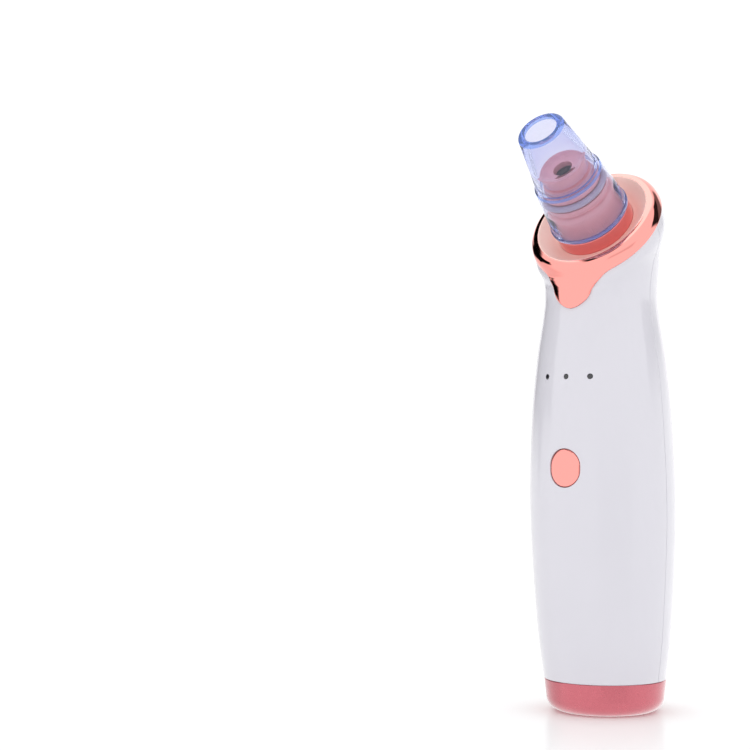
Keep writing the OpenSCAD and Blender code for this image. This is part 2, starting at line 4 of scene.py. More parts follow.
import bmesh
import bpy
import numpy as np
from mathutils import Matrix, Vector


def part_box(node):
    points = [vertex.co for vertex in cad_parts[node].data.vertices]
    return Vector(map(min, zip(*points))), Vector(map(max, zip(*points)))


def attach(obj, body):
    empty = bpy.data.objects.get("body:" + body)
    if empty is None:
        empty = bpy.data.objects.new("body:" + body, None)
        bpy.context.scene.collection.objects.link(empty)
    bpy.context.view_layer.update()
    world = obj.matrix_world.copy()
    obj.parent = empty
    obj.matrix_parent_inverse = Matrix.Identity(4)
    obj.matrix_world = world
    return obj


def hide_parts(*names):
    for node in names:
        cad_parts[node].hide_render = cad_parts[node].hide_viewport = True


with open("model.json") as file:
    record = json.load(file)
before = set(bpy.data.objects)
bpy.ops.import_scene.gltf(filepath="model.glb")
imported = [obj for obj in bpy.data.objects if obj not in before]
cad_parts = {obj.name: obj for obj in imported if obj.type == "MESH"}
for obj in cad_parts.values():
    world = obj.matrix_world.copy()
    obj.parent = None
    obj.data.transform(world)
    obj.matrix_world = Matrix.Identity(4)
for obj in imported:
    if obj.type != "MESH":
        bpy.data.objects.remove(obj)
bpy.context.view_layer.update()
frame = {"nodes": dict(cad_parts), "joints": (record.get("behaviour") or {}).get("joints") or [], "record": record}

MM = 0.001


# ---------------------------------------------------------------- places from the frame

joints = {joint["name"]: joint for joint in frame["joints"]}
mounts = {mount["name"]: mount for mount in frame["record"]["mounts"]}

# The nozzle's own frame: its axis, its front direction and its origin, in millimetres
NOZZLE_AXIS = np.array(joints["tip_pull"]["axis"])
NOZZLE_TILT = math.degrees(math.acos(NOZZLE_AXIS[2]))
MOUTH_MIDDLE_T = 45.7
NOZZLE_FRONT = np.array([
    0, -math.cos(math.radians(NOZZLE_TILT)), -math.sin(math.radians(NOZZLE_TILT))])
NOZZLE_ORIGIN = np.array(mounts["suction_mouth"]["pos_m"]) / MM - MOUTH_MIDDLE_T * NOZZLE_AXIS

# Lengths in millimetres. A name ending in _T is a distance along the nozzle, and in _Z a height.
CAP_SEAM_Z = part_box("front_shell")[0].z / MM
BELLY_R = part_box("front_shell")[1].x / MM
WALL = 1.8
RING_T = 4.7
RING_R = 21.5
COLLAR_R = RING_R - 0.3
RIM_R = 19
FACE_R = 18.0
BOSS_R = 12.4
BOSS_WAIST_R = 10.95
BOSS_FOOT_T = 4.2
COLLAR_TOP_T = 10.3
SEAL_T = 22.6
# Stretches of the tip painted a deeper blue as light caught along its edges: its skirt's rim, its step and its
# mouth's rim
TIP_EDGES = ((10.4, 10.95), (26.7, 27.5), (46.1, 47))
MOUTH_BORE_R = mounts["suction_mouth"]["dims"]["r_mm"]
SEAL_R = 9.2
SEAL_WIRE_R = 1.05
BUTTON_W = 10.3
BUTTON_H = 11.5
BUTTON_Z = 75.4
BUTTON_GAP = 0.15
LED_Z = 103
LED_PITCH = 7.55
LED_R = 0.8
SLOT_W = 8.8
SLOT_D = 4.0
SLOT_Y = mounts["charge_socket"]["pos_m"][1] / MM

# Sections of the handle: centre y, centre z, tilt, half width, half depth
collar = NOZZLE_ORIGIN + RING_T * NOZZLE_AXIS
SECTIONS = np.array([
    [0, CAP_SEAM_Z, 0, 18.8, 18.8],
    [-0.4, 28, 0, 20.8, 20.8],
    [-0.95, 60, 0, BELLY_R, BELLY_R],
    [-1.6, 88, 0, 21.8, 21.8],
    [-1.8, 108, 0, 20, 20],
    [-1.9, 122, 0, 17.9, 17.9],
    [-1.9, 129.5, 6, 17.4, 17.5],
    [-1.3, 138.1, 25, 18.3, 19.6],
    [-2.2, 144.7, 39, 21, 20.9],
    [collar[1], collar[2], NOZZLE_TILT, COLLAR_R, COLLAR_R],
])
LAST_SECTION = len(SECTIONS) - 1


# ---------------------------------------------------------------- curves

def catmull_rom(knots, u):
    """Points at u, counted in knots, on a smooth curve through the knots."""
    knots = np.asarray(knots, float)
    padded = np.vstack([2 * knots[0] - knots[1], knots, 2 * knots[-1] - knots[-2]])
    u = np.atleast_1d(np.asarray(u, float))
    i = np.clip(np.floor(u).astype(int), 0, len(knots) - 2)
    f = (u - i)[:, None]
    a, b, c, d = padded[i], padded[i + 1], padded[i + 2], padded[i + 3]
    return (b + (c - a) * f / 2 + (2 * a - 5 * b + 4 * c - d) * f ** 2 / 2
            + (3 * b - a - 3 * c + d) * f ** 3 / 2)


def even_lengths(points, count):
    """count points evenly spaced along a polyline."""
    points = np.asarray(points, float)
    lengths = np.concatenate([[0], np.cumsum(np.linalg.norm(np.diff(points, axis=0), axis=1))])
    wanted = np.linspace(0, lengths[-1], count)
    return np.stack([np.interp(wanted, lengths, points[:, k]) for k in range(points.shape[1])], 1)


def soften(corners, steps=5):
    """A closed outline of corners (x, y, how far back from the corner its rounding starts)."""
    longest_share = 0.48
    points = []
    count = len(corners)
    for k, (x, y, cut) in enumerate(corners):
        here = np.array([x, y], float)
        before = np.array(corners[k - 1][:2], float) - here
        after = np.array(corners[(k + 1) % count][:2], float) - here
        if cut <= 0:
            points.append(here)
            continue
        start = here + before * min(cut / np.linalg.norm(before), longest_share)
        end = here + after * min(cut / np.linalg.norm(after), longest_share)
        for s in np.linspace(0, 1, steps + 1):
            points.append((1 - s) ** 2 * start + 2 * s * (1 - s) * here + s ** 2 * end)
    return np.array(points)


def section_at(u):
    """Centre y, centre z, tilt in degrees, half width and half depth of the handle at u."""
    return catmull_rom(SECTIONS, u)


def skin(u, angle, inset=0.0):
    """Points of the handle's skin at u, at an angle in degrees from the front and at an inset."""
    u, angle, inset = np.broadcast_arrays(np.asarray(u, float), angle, inset)
    s = section_at(u.ravel()).reshape(u.shape + (5,))
    turn = np.radians(angle)
    tilt = np.radians(s[..., 2])
    along = (s[..., 4] - inset) * np.cos(turn)
    return np.stack([
        (s[..., 3] - inset) * np.sin(turn),
        s[..., 0] - along * np.cos(tilt),
        s[..., 1] - along * np.sin(tilt),
    ], -1)


UPRIGHT_END_U = 4.6
UPRIGHT_U = np.linspace(0, UPRIGHT_END_U, 400)
UPRIGHT_Z = section_at(UPRIGHT_U)[:, 1]


def u_at(z):
    """The u of a height on the upright part of the handle."""
    return np.interp(z, UPRIGHT_Z, UPRIGHT_U)


def front_point(x, z, inset=0.0):
    """Points of the skin above (x, z) at the front of the upright part of the handle."""
    x, z, inset = np.broadcast_arrays(np.asarray(x, float), z, inset)
    s = section_at(u_at(z).ravel()).reshape(x.shape + (5,))
    return np.stack([x, s[..., 0] - np.sqrt((s[..., 3] - inset) ** 2 - x ** 2), z], -1)


def on_nozzle(r, t, angle):
    """Points in the nozzle's frame: radius, distance along the axis and angle in degrees from the front."""
    r, t, angle = np.broadcast_arrays(np.asarray(r, float), t, angle)
    turn = np.radians(angle)
    across = (r * np.sin(turn))[..., None] * np.array([1.0, 0, 0])
    ahead = (r * np.cos(turn))[..., None] * NOZZLE_FRONT
    return NOZZLE_ORIGIN + t[..., None] * NOZZLE_AXIS + across + ahead


# ---------------------------------------------------------------- meshes

class Solid:
    """Collects points in millimetres and faces, and becomes one object."""

    def __init__(self):
        self.points = []
        self.faces = []

    def add(self, points):
        """Adds an array of points and returns their numbers in the same arrangement."""
        points = np.asarray(points, float)
        start = len(self.points)
        self.points.extend(map(tuple, points.reshape(-1, 3)))
        return np.arange(start, len(self.points)).reshape(points.shape[:-1])

    def quads(self, ids, close_rows=False, close_columns=False, skip=None):
        """Faces between neighbours of a grid of point numbers."""
        rows, columns = ids.shape
        for i in range(rows if close_rows else rows - 1):
            for j in range(columns if close_columns else columns - 1):
                if skip is None or not skip(i, j):
                    a, b = ids[i, j], ids[i, (j + 1) % columns]
                    c, d = ids[(i + 1) % rows, (j + 1) % columns], ids[(i + 1) % rows, j]
                    self.faces.append((a, b, c, d))

    def cap(self, ids, turned=False):
        """One face on a loop of points."""
        loop = list(ids)
        self.faces.append(tuple(reversed(loop)) if turned else tuple(loop))

    def object(self, name, sharp=40):
        """The finished object, smooth except at edges sharper than an angle in degrees."""
        mesh = bpy.data.meshes.new(name)
        mesh.from_pydata([Vector(p) * MM for p in self.points], [], [tuple(map(int, f)) for f in self.faces])
        mesh.validate()
        mesh.shade_smooth()
        mesh.set_sharp_from_angle(angle=math.radians(sharp))
        made = bpy.data.objects.new(name, mesh)
        bpy.context.scene.collection.objects.link(made)
        face_outwards(made)
        return made


def face_outwards(made):
    """Turns every face of a closed mesh outwards."""
    work = bmesh.new()
    work.from_mesh(made.data)
    bmesh.ops.recalc_face_normals(work, faces=work.faces)
    work.to_mesh(made.data)
    work.free()


def place(made, body, slot, *replaced):
    """Gives a piece its body and the finish of its material slot, and hides the CAD nodes it stands for."""
    made.data.materials.clear()
    made.data.materials.append(FINISHES[slot])
    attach(made, body)
    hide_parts(*replaced)
    return made


def revolved(name, outline, columns=144):
    """A ring from a closed outline of (r, t) round the nozzle's axis."""
    angles = np.arange(columns) * 360 / columns
    r, t = outline[:, 0][:, None], outline[:, 1][:, None]
    solid = Solid()
    solid.quads(solid.add(on_nozzle(r, t, angles[None, :])), close_rows=True, close_columns=True)
    return solid.object(name)


# ---------------------------------------------------------------- materials

def node_input(node, name, value):
    node.inputs[name].default_value = value


class Finish:
    """A procedural material: one Principled shader, its colour, roughness and relief varied by noise."""

    def __init__(self, name, colour, roughness, metallic=0.0):
        self.material = bpy.data.materials.new(name)
        self.material.use_nodes = True
        self.tree = self.material.node_tree
        self.shader = self.tree.nodes["Principled BSDF"]
        self.colour = colour
        self.set("Base Color", (*colour, 1))
        self.set("Roughness", roughness)
        self.set("Metallic", metallic)
        self.place = self.node("ShaderNodeTexCoord").outputs["Object"]

    def set(self, name, value):
        node_input(self.shader, name, value)
        return self

    def node(self, kind, **settings):
        made = self.tree.nodes.new(kind)
        for key, value in settings.items():
            setattr(made, key, value)
        return made

    def link(self, output, target):
        self.tree.links.new(output, target)

    def noise(self, scale, detail=3.0):
        """Noise over the piece; scale counts features per metre."""
        made = self.node("ShaderNodeTexNoise")
        node_input(made, "Scale", scale)
        node_input(made, "Detail", detail)
        self.link(self.place, made.inputs["Vector"])
        return made.outputs["Fac"]

    def ranged(self, source, low, high, start=0.3, end=0.7):
        """A source value spread between two numbers."""
        made = self.node("ShaderNodeMapRange")
        node_input(made, "From Min", start)
        node_input(made, "From Max", end)
        node_input(made, "To Min", low)
        node_input(made, "To Max", high)
        self.link(source, made.inputs["Value"])
        return made.outputs["Result"]

    def along_nozzle(self):
        """Distance along the nozzle's axis."""
        made = self.node("ShaderNodeVectorMath", operation="DOT_PRODUCT")
        made.inputs[1].default_value = tuple(NOZZLE_AXIS)
        self.link(self.place, made.inputs[0])
        return made.outputs["Value"]

    def on_axis(self, *distances):
        """What along_nozzle gives at those distances in the nozzle's frame."""
        return [float(NOZZLE_ORIGIN @ NOZZLE_AXIS + t) * MM for t in distances]

    def bands(self, along, fade, *bands):
        """One inside each band along the nozzle's axis and nought outside, with a fade between."""
        total = self.node("ShaderNodeValue").outputs[0]
        total.default_value = 0
        for low, high in bands:
            inside = self.node("ShaderNodeMath", operation="MULTIPLY")
            self.link(self.ranged(along, 0, 1, *self.on_axis(low - fade, low)), inside.inputs[0])
            self.link(self.ranged(along, 1, 0, *self.on_axis(high, high + fade)), inside.inputs[1])
            both = self.node("ShaderNodeMath", operation="ADD")
            self.link(inside.outputs[0], both.inputs[0])
            self.link(total, both.inputs[1])
            total = both.outputs[0]
        return total

    def blend_colour(self, source, other, start=0.3, end=0.7):
        """Varies the colour between its own and another."""
        mix = self.node("ShaderNodeMix", data_type="RGBA")
        mix.inputs[6].default_value = (*self.colour, 1)
        mix.inputs[7].default_value = (*other, 1)
        self.link(self.ranged(source, 0, 1, start, end), mix.inputs[0])
        self.link(mix.outputs[2], self.shader.inputs["Base Color"])
        return self

    def wear(self, source, low, high):
        """Varies the roughness between two numbers."""
        self.link(self.ranged(source, low, high), self.shader.inputs["Roughness"])
        return self

    def relief(self, source, depth):
        """Gives the surface a bump of that depth in metres."""
        bump = self.node("ShaderNodeBump")
        node_input(bump, "Strength", 1.0)
        node_input(bump, "Distance", depth)
        self.link(source, bump.inputs["Height"])
        self.link(bump.outputs["Normal"], self.shader.inputs["Normal"])
        return self


def white_plastic():
    """Glossy white plastic whose colour varies slightly at random."""
    made = Finish("white_plastic", (0.69, 0.678, 0.737), 0.3)
    made.set("Coat Weight", 0.8).set("Coat Roughness", 0.05).set("IOR", 1.45)
    made.blend_colour(made.noise(60), (0.683, 0.671, 0.73))
    made.wear(made.noise(400, 4), 0.28, 0.36)
    made.relief(made.noise(2500, 2), 0.0000008)
    return made.material


def plating():
    """Bright rose-gold plating, rougher and hardly metallic on the face inside the polished rim, where its paler
    colour is painted sheen.
    """
    polished, face_colour_with_painted_sheen = (0.90, 0.335, 0.30), (1.0, 0.70, 0.63)
    satin_metallic, satin_roughness, fade = 0.08, 0.36, 0.25
    made = Finish("rose_gold_plating", polished, 0.06, metallic=1.0)
    away = made.node("ShaderNodeVectorMath", operation="SUBTRACT")
    away.inputs[1].default_value = tuple(NOZZLE_ORIGIN * MM)
    made.link(made.place, away.inputs[0])
    across = made.node("ShaderNodeVectorMath", operation="CROSS_PRODUCT")
    across.inputs[1].default_value = tuple(NOZZLE_AXIS)
    made.link(away.outputs["Vector"], across.inputs[0])
    radius = made.node("ShaderNodeVectorMath", operation="LENGTH")
    made.link(across.outputs["Vector"], radius.inputs[0])
    edge = (FACE_R * MM, (FACE_R + fade) * MM)
    shine = made.ranged(radius.outputs["Value"], satin_metallic, 1.0, *edge)
    made.link(shine, made.shader.inputs["Metallic"])
    # Painted sheen: the face's paler colour stands in for the light it reflects; the polished rim keeps the
    # plating's own colour.
    colour = made.node("ShaderNodeMix", data_type="RGBA")
    colour.inputs[6].default_value = (*face_colour_with_painted_sheen, 1)
    colour.inputs[7].default_value = (*polished, 1)
    made.link(made.ranged(radius.outputs["Value"], 0, 1, *edge), colour.inputs[0])
    made.link(colour.outputs[2], made.shader.inputs["Base Color"])
    rough = made.node("ShaderNodeMath", operation="ADD")
    made.link(made.ranged(radius.outputs["Value"], satin_roughness, 0, *edge), rough.inputs[0])
    made.link(made.ranged(made.noise(700, 4), 0.04, 0.07), rough.inputs[1])
    made.link(rough.outputs[0], made.shader.inputs["Roughness"])
    made.relief(made.noise(900, 2), 0.0000006)
    return made.material


def rose_red():
    """Speckled metallic lacquer on the cap."""
    made = Finish("rose_red_metallic", (0.47, 0.085, 0.115), 0.3, metallic=0.7)
    made.set("Coat Weight", 0.8).set("Coat Roughness", 0.08)
    made.blend_colour(made.noise(5000, 2), (0.60, 0.135, 0.17))
    made.wear(made.noise(600, 3), 0.26, 0.34)
    made.relief(made.noise(2500, 2), 0.000001)
    return made.material


def rose_boss():
    """Metallic rose plastic, less metallic above the foot collar, where its paler colour is painted light that
    makes up for the shade of the clear tip over it.
    """
    made = Finish("rose_boss_metallic", (0.78, 0.22, 0.215), 0.2)
    made.set("Coat Weight", 0.5).set("Coat Roughness", 0.08)
    along = made.along_nozzle()
    top = (COLLAR_TOP_T, COLLAR_TOP_T + 0.5)
    made.link(made.ranged(along, 0.8, 0.15, *made.on_axis(*top)), made.shader.inputs["Metallic"])
    # Painted light: the paler colour above the collar makes up for the shade that the clear tip casts on the boss.
    made.blend_colour(along, (1.0, 0.46, 0.46), *made.on_axis(*top))
    made.wear(made.noise(600, 3), 0.16, 0.26)
    made.relief(made.noise(2500, 2), 0.000001)
    return made.material


def clear_plastic():
    """Clear plastic, painted a deeper blue and less clear at its rims and its step, as painted light for the glow
    that those edges catch.
    """
    made = Finish("clear_tinted_plastic", (0.88, 0.87, 0.945), 0.02)
    made.set("IOR", 1.25)
    along = made.along_nozzle()
    edges = made.bands(along, 0.15, *TIP_EDGES)
    # Painted light: the deeper blue at the rims and the step stands in for light caught along the plastic's edges.
    made.blend_colour(edges, (0.30, 0.44, 0.93), 0, 1)
    made.link(made.ranged(edges, 0.96, 0.6, 0, 1), made.shader.inputs["Transmission Weight"])
    made.wear(made.noise(500, 3), 0.01, 0.05)
    made.relief(made.noise(700, 2), 0.000001)
    absorption = made.node("ShaderNodeVolumeAbsorption")
    absorption.inputs["Color"].default_value = (0.45, 0.56, 0.96, 1)
    node_input(absorption, "Density", 100)
    made.link(absorption.outputs["Volume"], made.tree.nodes["Material Output"].inputs["Volume"])
    return made.material


def plain(name, colour, other, roughness, scale=900, depth=0.00001, metallic=0.0, coat=0.0):
    """A simple moulded, coated or turned finish."""
    made = Finish(name, colour, roughness, metallic)
    made.set("Coat Weight", coat)
    made.blend_colour(made.noise(scale / 6), other)
    made.wear(made.noise(scale / 2, 4), roughness * 0.85, min(1, roughness * 1.15))
    made.relief(made.noise(scale, 3), depth)
    return made.material


FINISHES = {
    "white_shell": white_plastic(),
    "rose_gold_plating": plating(),
    "rose_red_cap": rose_red(),
    "rose_boss": rose_boss(),
    "clear_tip": clear_plastic(),
    "grey_silicone": plain("grey_silicone", (0.70, 0.60, 0.68), (0.66, 0.57, 0.65), 0.4),
    "foam": plain("open_foam", (0.06, 0.055, 0.06), (0.02, 0.02, 0.022), 0.95, 2500, 0.0003),
    "dark_lens": plain("dark_lens", (0.012, 0.012, 0.016), (0.02, 0.02, 0.025), 0.12, coat=0.6),
    "circuit_board": plain("solder_mask", (0.02, 0.16, 0.07), (0.03, 0.22, 0.1), 0.3, 1200, coat=0.4),
    "black_plastic": plain("black_plastic", (0.02, 0.02, 0.022), (0.035, 0.035, 0.037), 0.55),
    "pale_plastic": plain("pale_plastic", (0.78, 0.75, 0.68), (0.72, 0.69, 0.62), 0.45),
    "grey_plastic": plain("grey_plastic", (0.12, 0.125, 0.135), (0.16, 0.165, 0.175), 0.5),
    "bright_steel": plain("bright_steel", (0.6, 0.6, 0.62), (0.52, 0.52, 0.54), 0.25, 1500, 0.000003, 1.0),
    "battery_wrap": plain("battery_wrap", (0.05, 0.17, 0.5), (0.06, 0.2, 0.58), 0.3, 500, coat=0.5),
    "red_wire": plain("red_wire", (0.55, 0.03, 0.03), (0.48, 0.025, 0.025), 0.45),
    "black_wire": plain("black_wire", (0.02, 0.02, 0.02), (0.035, 0.035, 0.035), 0.45),
    "black_rubber": plain("black_rubber", (0.03, 0.03, 0.032), (0.045, 0.045, 0.048), 0.7),
    "pale_silicone": plain("pale_silicone", (0.8, 0.78, 0.73), (0.74, 0.72, 0.67), 0.4),
}

for part in frame["record"]["subparts"]:
    node = frame["nodes"][part["node"]]
    node.data.materials.clear()
    node.data.materials.append(FINISHES[part["material_slot"]])


# ---------------------------------------------------------------- white shells

EDGE_ROLL = 0.3
HALF_SEAM = 0.04
# The radius that turns lengths along the skin into angles near the side seams
SIDE_R = 20
# How far the columns between the two rounded edges reach from a half shell's middle, in degrees
INNER_ANGLE = 88
# Half sizes of the blocks of grid cells round the holes: degrees round the handle and height
BUTTON_BLOCK_ANGLE, BUTTON_BLOCK_H = 21, 8.4
LED_BLOCK_ANGLE, LED_BLOCK_H = 7, 2.4


def roll(distance, radius):
    """How far a rounded edge falls at a distance from it."""
    d = np.clip(radius - np.asarray(distance, float), 0, radius)
    return radius - np.sqrt(radius ** 2 - d ** 2)


def stadium_ray(width, height, direction):
    """Where a ray from the middle of an upright stadium meets its outline."""
    radius, reach = width / 2, (height - width) / 2
    dx, dz = np.cos(direction), np.sin(direction)
    side = np.where(np.abs(dx) > 1e-9, radius / np.maximum(np.abs(dx), 1e-9), 1e9)
    middle = np.sign(dz) * reach
    b = dz * middle
    far = b + np.sqrt(np.maximum(b ** 2 - middle ** 2 + radius ** 2, 0))
    distance = np.where(np.abs(dz) * side <= reach, side, far)
    return distance[:, None] * np.stack([dx, dz], 1)


class Hole:
    """A stadium hole in the front shell and the block of grid cells that it is cut from."""

    def __init__(self, x, z, width, height, half_angle, half_height):
        self.x, self.z, self.width, self.height = x, z, width, height
        radius = section_at(u_at(z))[0][3]
        middle = math.degrees(math.asin(x / radius))
        self.angles = (middle - half_angle, middle + half_angle)
        self.heights = (z - half_height, z + half_height)


HOLES = [Hole(0, BUTTON_Z, BUTTON_W + 2 * BUTTON_GAP, BUTTON_H + 2 * BUTTON_GAP,
              BUTTON_BLOCK_ANGLE, BUTTON_BLOCK_H)]
LED_HOLE = 2 * LED_R + 0.1
for k in (-1, 0, 1):
    HOLES.append(Hole(k * LED_PITCH, LED_Z, LED_HOLE, LED_HOLE, LED_BLOCK_ANGLE, LED_BLOCK_H))


def shell_rows():
    """The u of the shell's rows, closer round the holes and at both ends."""
    edge = [0, 0.03, 0.08, 0.16, 0.3]
    heights = [CAP_SEAM_Z + e for e in edge]
    button_low, button_high = BUTTON_Z - BUTTON_BLOCK_H, BUTTON_Z + BUTTON_BLOCK_H
    led_low, led_high = LED_Z - LED_BLOCK_H, LED_Z + LED_BLOCK_H
    heights += list(np.linspace(CAP_SEAM_Z + 0.6, button_low, 44, endpoint=False))
    heights += list(np.linspace(button_low, button_high, 25))
    heights += list(np.linspace(button_high, led_low, 14)[1:-1])
    heights += list(np.linspace(led_low, led_high, 9))
    low = u_at(np.array(heights))
    high = np.linspace(low[-1], LAST_SECTION, 76)[1:]
    return np.concatenate([low, high])


def shell_angles(middle):
    """Column angles of a half shell, closer at its two long edges and lined up with the holes."""
    edge = np.array([0, 0.06, 0.15, 0.3, 0.5, 0.75])
    steps = np.degrees(edge / SIDE_R)
    inner = np.linspace(-INNER_ANGLE, INNER_ANGLE, 119)
    if middle == 0:
        near, far = HOLES[-1].angles
        centre = LED_BLOCK_ANGLE
        inner = np.concatenate([
            np.linspace(-INNER_ANGLE, -far, 45), np.linspace(-far, -near, 9)[1:],
            np.linspace(-near, -centre, 6)[1:], np.linspace(-centre, centre, 9)[1:],
            np.linspace(centre, near, 6)[1:], np.linspace(near, far, 9)[1:],
            np.linspace(far, INNER_ANGLE, 45)[1:]])
    start = np.degrees(HALF_SEAM / SIDE_R)
    low = -90 + start + steps
    return middle + np.concatenate([low, inner, -low[::-1]])


def nearest(values, wanted):
    """The number of the value closest to the wanted one."""
    return int(np.argmin(np.abs(np.asarray(values) - wanted)))


def block_of(hole, rows_z, angles):
    """The grid lines round a hole: first and last row, first and last column."""
    return (nearest(rows_z, hole.heights[0]), nearest(rows_z, hole.heights[1]),
            nearest(angles, hole.angles[0]), nearest(angles, hole.angles[1]))


def around(block):
    """The grid points round a block, in order."""
    i0, i1, j0, j1 = block
    loop = [(i0, j) for j in range(j0, j1)] + [(i, j1) for i in range(i0, i1)]
    loop += [(i1, j) for j in range(j1, j0, -1)] + [(i, j0) for i in range(i1, i0, -1)]
    return loop


def half_shell(name, middle, node):
    """Half of the handle's wall, with rounded edges and its holes."""
    u = shell_rows()
    angles = shell_angles(middle)
    holes = HOLES if middle == 0 else []
    u_grid, angle_grid = np.meshgrid(u, angles, indexing="ij")
    from_side = np.radians(90 - np.abs(angle_grid - middle)) * SIDE_R
    from_foot = section_at(u)[:, 1][:, None] - CAP_SEAM_Z
    inset = roll(from_side, EDGE_ROLL) + roll(from_foot, EDGE_ROLL)
    outer_points = skin(u_grid, angle_grid, inset)
    inner_points = skin(u_grid, angle_grid, WALL)
    solid = Solid()
    outer, inner = solid.add(outer_points), solid.add(inner_points)
    rows_z = section_at(u)[:, 1]
    blocks = [block_of(hole, rows_z, angles) for hole in holes]

    def in_hole(i, j):
        return any(b[0] <= i < b[1] and b[2] <= j < b[3] for b in blocks)

    solid.quads(outer, skip=in_hole)
    solid.quads(inner, skip=in_hole)
    for hole, block in zip(holes, blocks):
        cut_hole(solid, hole, around(block), outer, inner, outer_points)
    rim = [(i, 0) for i in range(len(u))] + [(len(u) - 1, j) for j in range(1, len(angles))]
    rim += [(i, len(angles) - 1) for i in range(len(u) - 2, -1, -1)]
    rim += [(0, j) for j in range(len(angles) - 2, 0, -1)]
    edges = np.array([[outer[p] for p in rim], [inner[p] for p in rim]])
    solid.quads(edges, close_columns=True)
    return place(solid.object(name), "handle", "white_shell", node)


def cut_hole(solid, hole, loop, outer, inner, outer_points):
    """Joins the grid round a hole to the hole's edge, its rounding and its wall."""
    flat = np.array([[outer_points[p][0] - hole.x, outer_points[p][2] - hole.z] for p in loop])
    edge = stadium_ray(hole.width, hole.height, np.arctan2(flat[:, 1], flat[:, 0]))
    length = np.linalg.norm(edge, axis=1)[:, None]
    small_hole, large_round, small_round = 4, 0.25, 0.1
    round_r = large_round if hole.width > small_hole else small_round
    rings = [[outer[p] for p in loop]]
    for share in (0.82, 0.62, 0.42, 0.24, 0.1):
        ring = edge * (1 + round_r / length) * (1 - share) + flat * share
        rings.append(solid.add(front_point(hole.x + ring[:, 0], hole.z + ring[:, 1])))
    for turn in np.linspace(0, 90, 6):
        out = round_r * (1 - math.sin(math.radians(turn)))
        drop = round_r * (1 - math.cos(math.radians(turn)))
        ring = edge * (1 + out / length)
        rings.append(solid.add(front_point(hole.x + ring[:, 0], hole.z + ring[:, 1], drop)))
    rings.append(solid.add(front_point(hole.x + edge[:, 0], hole.z + edge[:, 1], WALL)))
    for share in (0.2, 0.5):
        ring = edge * (1 - share) + flat * share
        rings.append(solid.add(front_point(hole.x + ring[:, 0], hole.z + ring[:, 1], WALL)))
    rings.append([inner[p] for p in loop])
    solid.quads(np.array(rings), close_columns=True)


half_shell("white_front_shell", 0, "front_shell")
half_shell("white_rear_shell", 180, "rear_shell")


# ---------------------------------------------------------------- plated head ring with its tongue

# Half of the tongue's outline: angle from the front and u of the skin
TONGUE = [
    [0, 5.19], [5, 5.23], [10, 5.34], [14.5, 5.52], [18.5, 5.8], [21.2, 6.2], [22.3, 6.8], [23, 7.4],
    [24.1, 7.95], [26, 8.45], [29, 8.78], [33, 8.95], [38, 9.0],
]
# The dish and the rim, from the boss outwards: radius and distance along the nozzle
DISH = [
    [BOSS_R + 0.05, 5.75], [13.6, 6.15], [15, 7.0], [16.4, 8.0], [RIM_R - 1.6, 8.8], [RIM_R - 1.15, 9.13],
    [RIM_R - 0.8, 9.2], [RIM_R, 9.08], [RIM_R + 1, 8.8], [RIM_R + 1.6, 8.4], [RING_R - 0.4, 7.5],
    [RING_R - 0.1, 6.2], [RING_R, RING_T],
]
FACE_END = 7.6
TONGUE_PROUD = 0.65
RING_PROUD = 0.3
# The stretch of u below the ring in which the side grows from the ring's height to the tongue's
PROUD_OVER_U = 0.8
FILLET = 1.1
TONGUE_ROLL = 0.55
# Distances from the ring's outline at which its rounded edge has rows
FROM_EDGE = [2.4, 1.8, 1.35, 1.0, 0.75, 0.55, 0.4, 0.28, 0.18, 0.1, 0.04, 0.0]
# How much a degree of angle and a whole u count when the outline's points are spaced evenly
OUTLINE_SCALE = [0.37, 4]


def blurred(path, width):
    """A path of evenly spaced points, smoothed over a width in points, with its ends kept."""
    reach = int(3 * width)
    kernel = np.exp(-0.5 * (np.arange(-reach, reach + 1) / width) ** 2)
    kernel /= kernel.sum()
    before = 2 * path[0] - path[1:reach + 1][::-1]
    after = 2 * path[-1] - path[-reach - 1:-1][::-1]
    padded = np.vstack([before, path, after])
    return np.stack([np.convolve(padded[:, k], kernel, "valid") for k in range(3)], 1)


def ring_columns():
    """Angles round the nozzle with the u where each column ends, from the back round to the back."""
    fine = catmull_rom(TONGUE, np.linspace(0, len(TONGUE) - 1, 400))
    outline = even_lengths(fine * OUTLINE_SCALE, 90)
    angle, u = outline[:, 0] / OUTLINE_SCALE[0], outline[:, 1] / OUTLINE_SCALE[1]
    others = np.linspace(angle[-1], 180, 72)[1:]
    half_angle = np.concatenate([angle, others])
    half_u = np.concatenate([u, np.full(len(others), float(LAST_SECTION))])
    return (np.concatenate([-half_angle[:0:-1], half_angle[:-1]]),
            np.concatenate([half_u[:0:-1], half_u[:-1]]))


def side_path(angle, end_u):
    """The ring's side from the rim down to its lower edge or on over the tongue to its outline."""
    step = 0.08
    wall = catmull_rom(DISH, np.linspace(FACE_END, len(DISH) - 1, 60))
    points = on_nozzle(wall[:, 0], wall[:, 1], angle)
    if end_u < LAST_SECTION - 1e-6:
        u = np.linspace(LAST_SECTION, end_u, 160)[1:]
        share = np.clip((LAST_SECTION - u) / PROUD_OVER_U, 0, 1)
        proud = RING_PROUD + (TONGUE_PROUD - RING_PROUD) * share
        points = np.vstack([points, skin(u, np.full(len(u), angle), -proud)])
    length = np.linalg.norm(np.diff(points, axis=0), axis=1).sum()
    path = even_lengths(points, max(30, int(length / step)))
    path = blurred(path, min(FILLET / step, len(path) / 4 - 1))
    at = np.concatenate([[0], np.cumsum(np.linalg.norm(np.diff(path, axis=0), axis=1))])
    tail = [d * min(1, at[-1] / 5) for d in FROM_EDGE]
    wanted = np.concatenate([np.linspace(0, at[-1] - tail[0], 18)[:-1], at[-1] - np.array(tail)])
    return np.stack([np.interp(wanted, at, path[:, k]) for k in range(3)], 1)


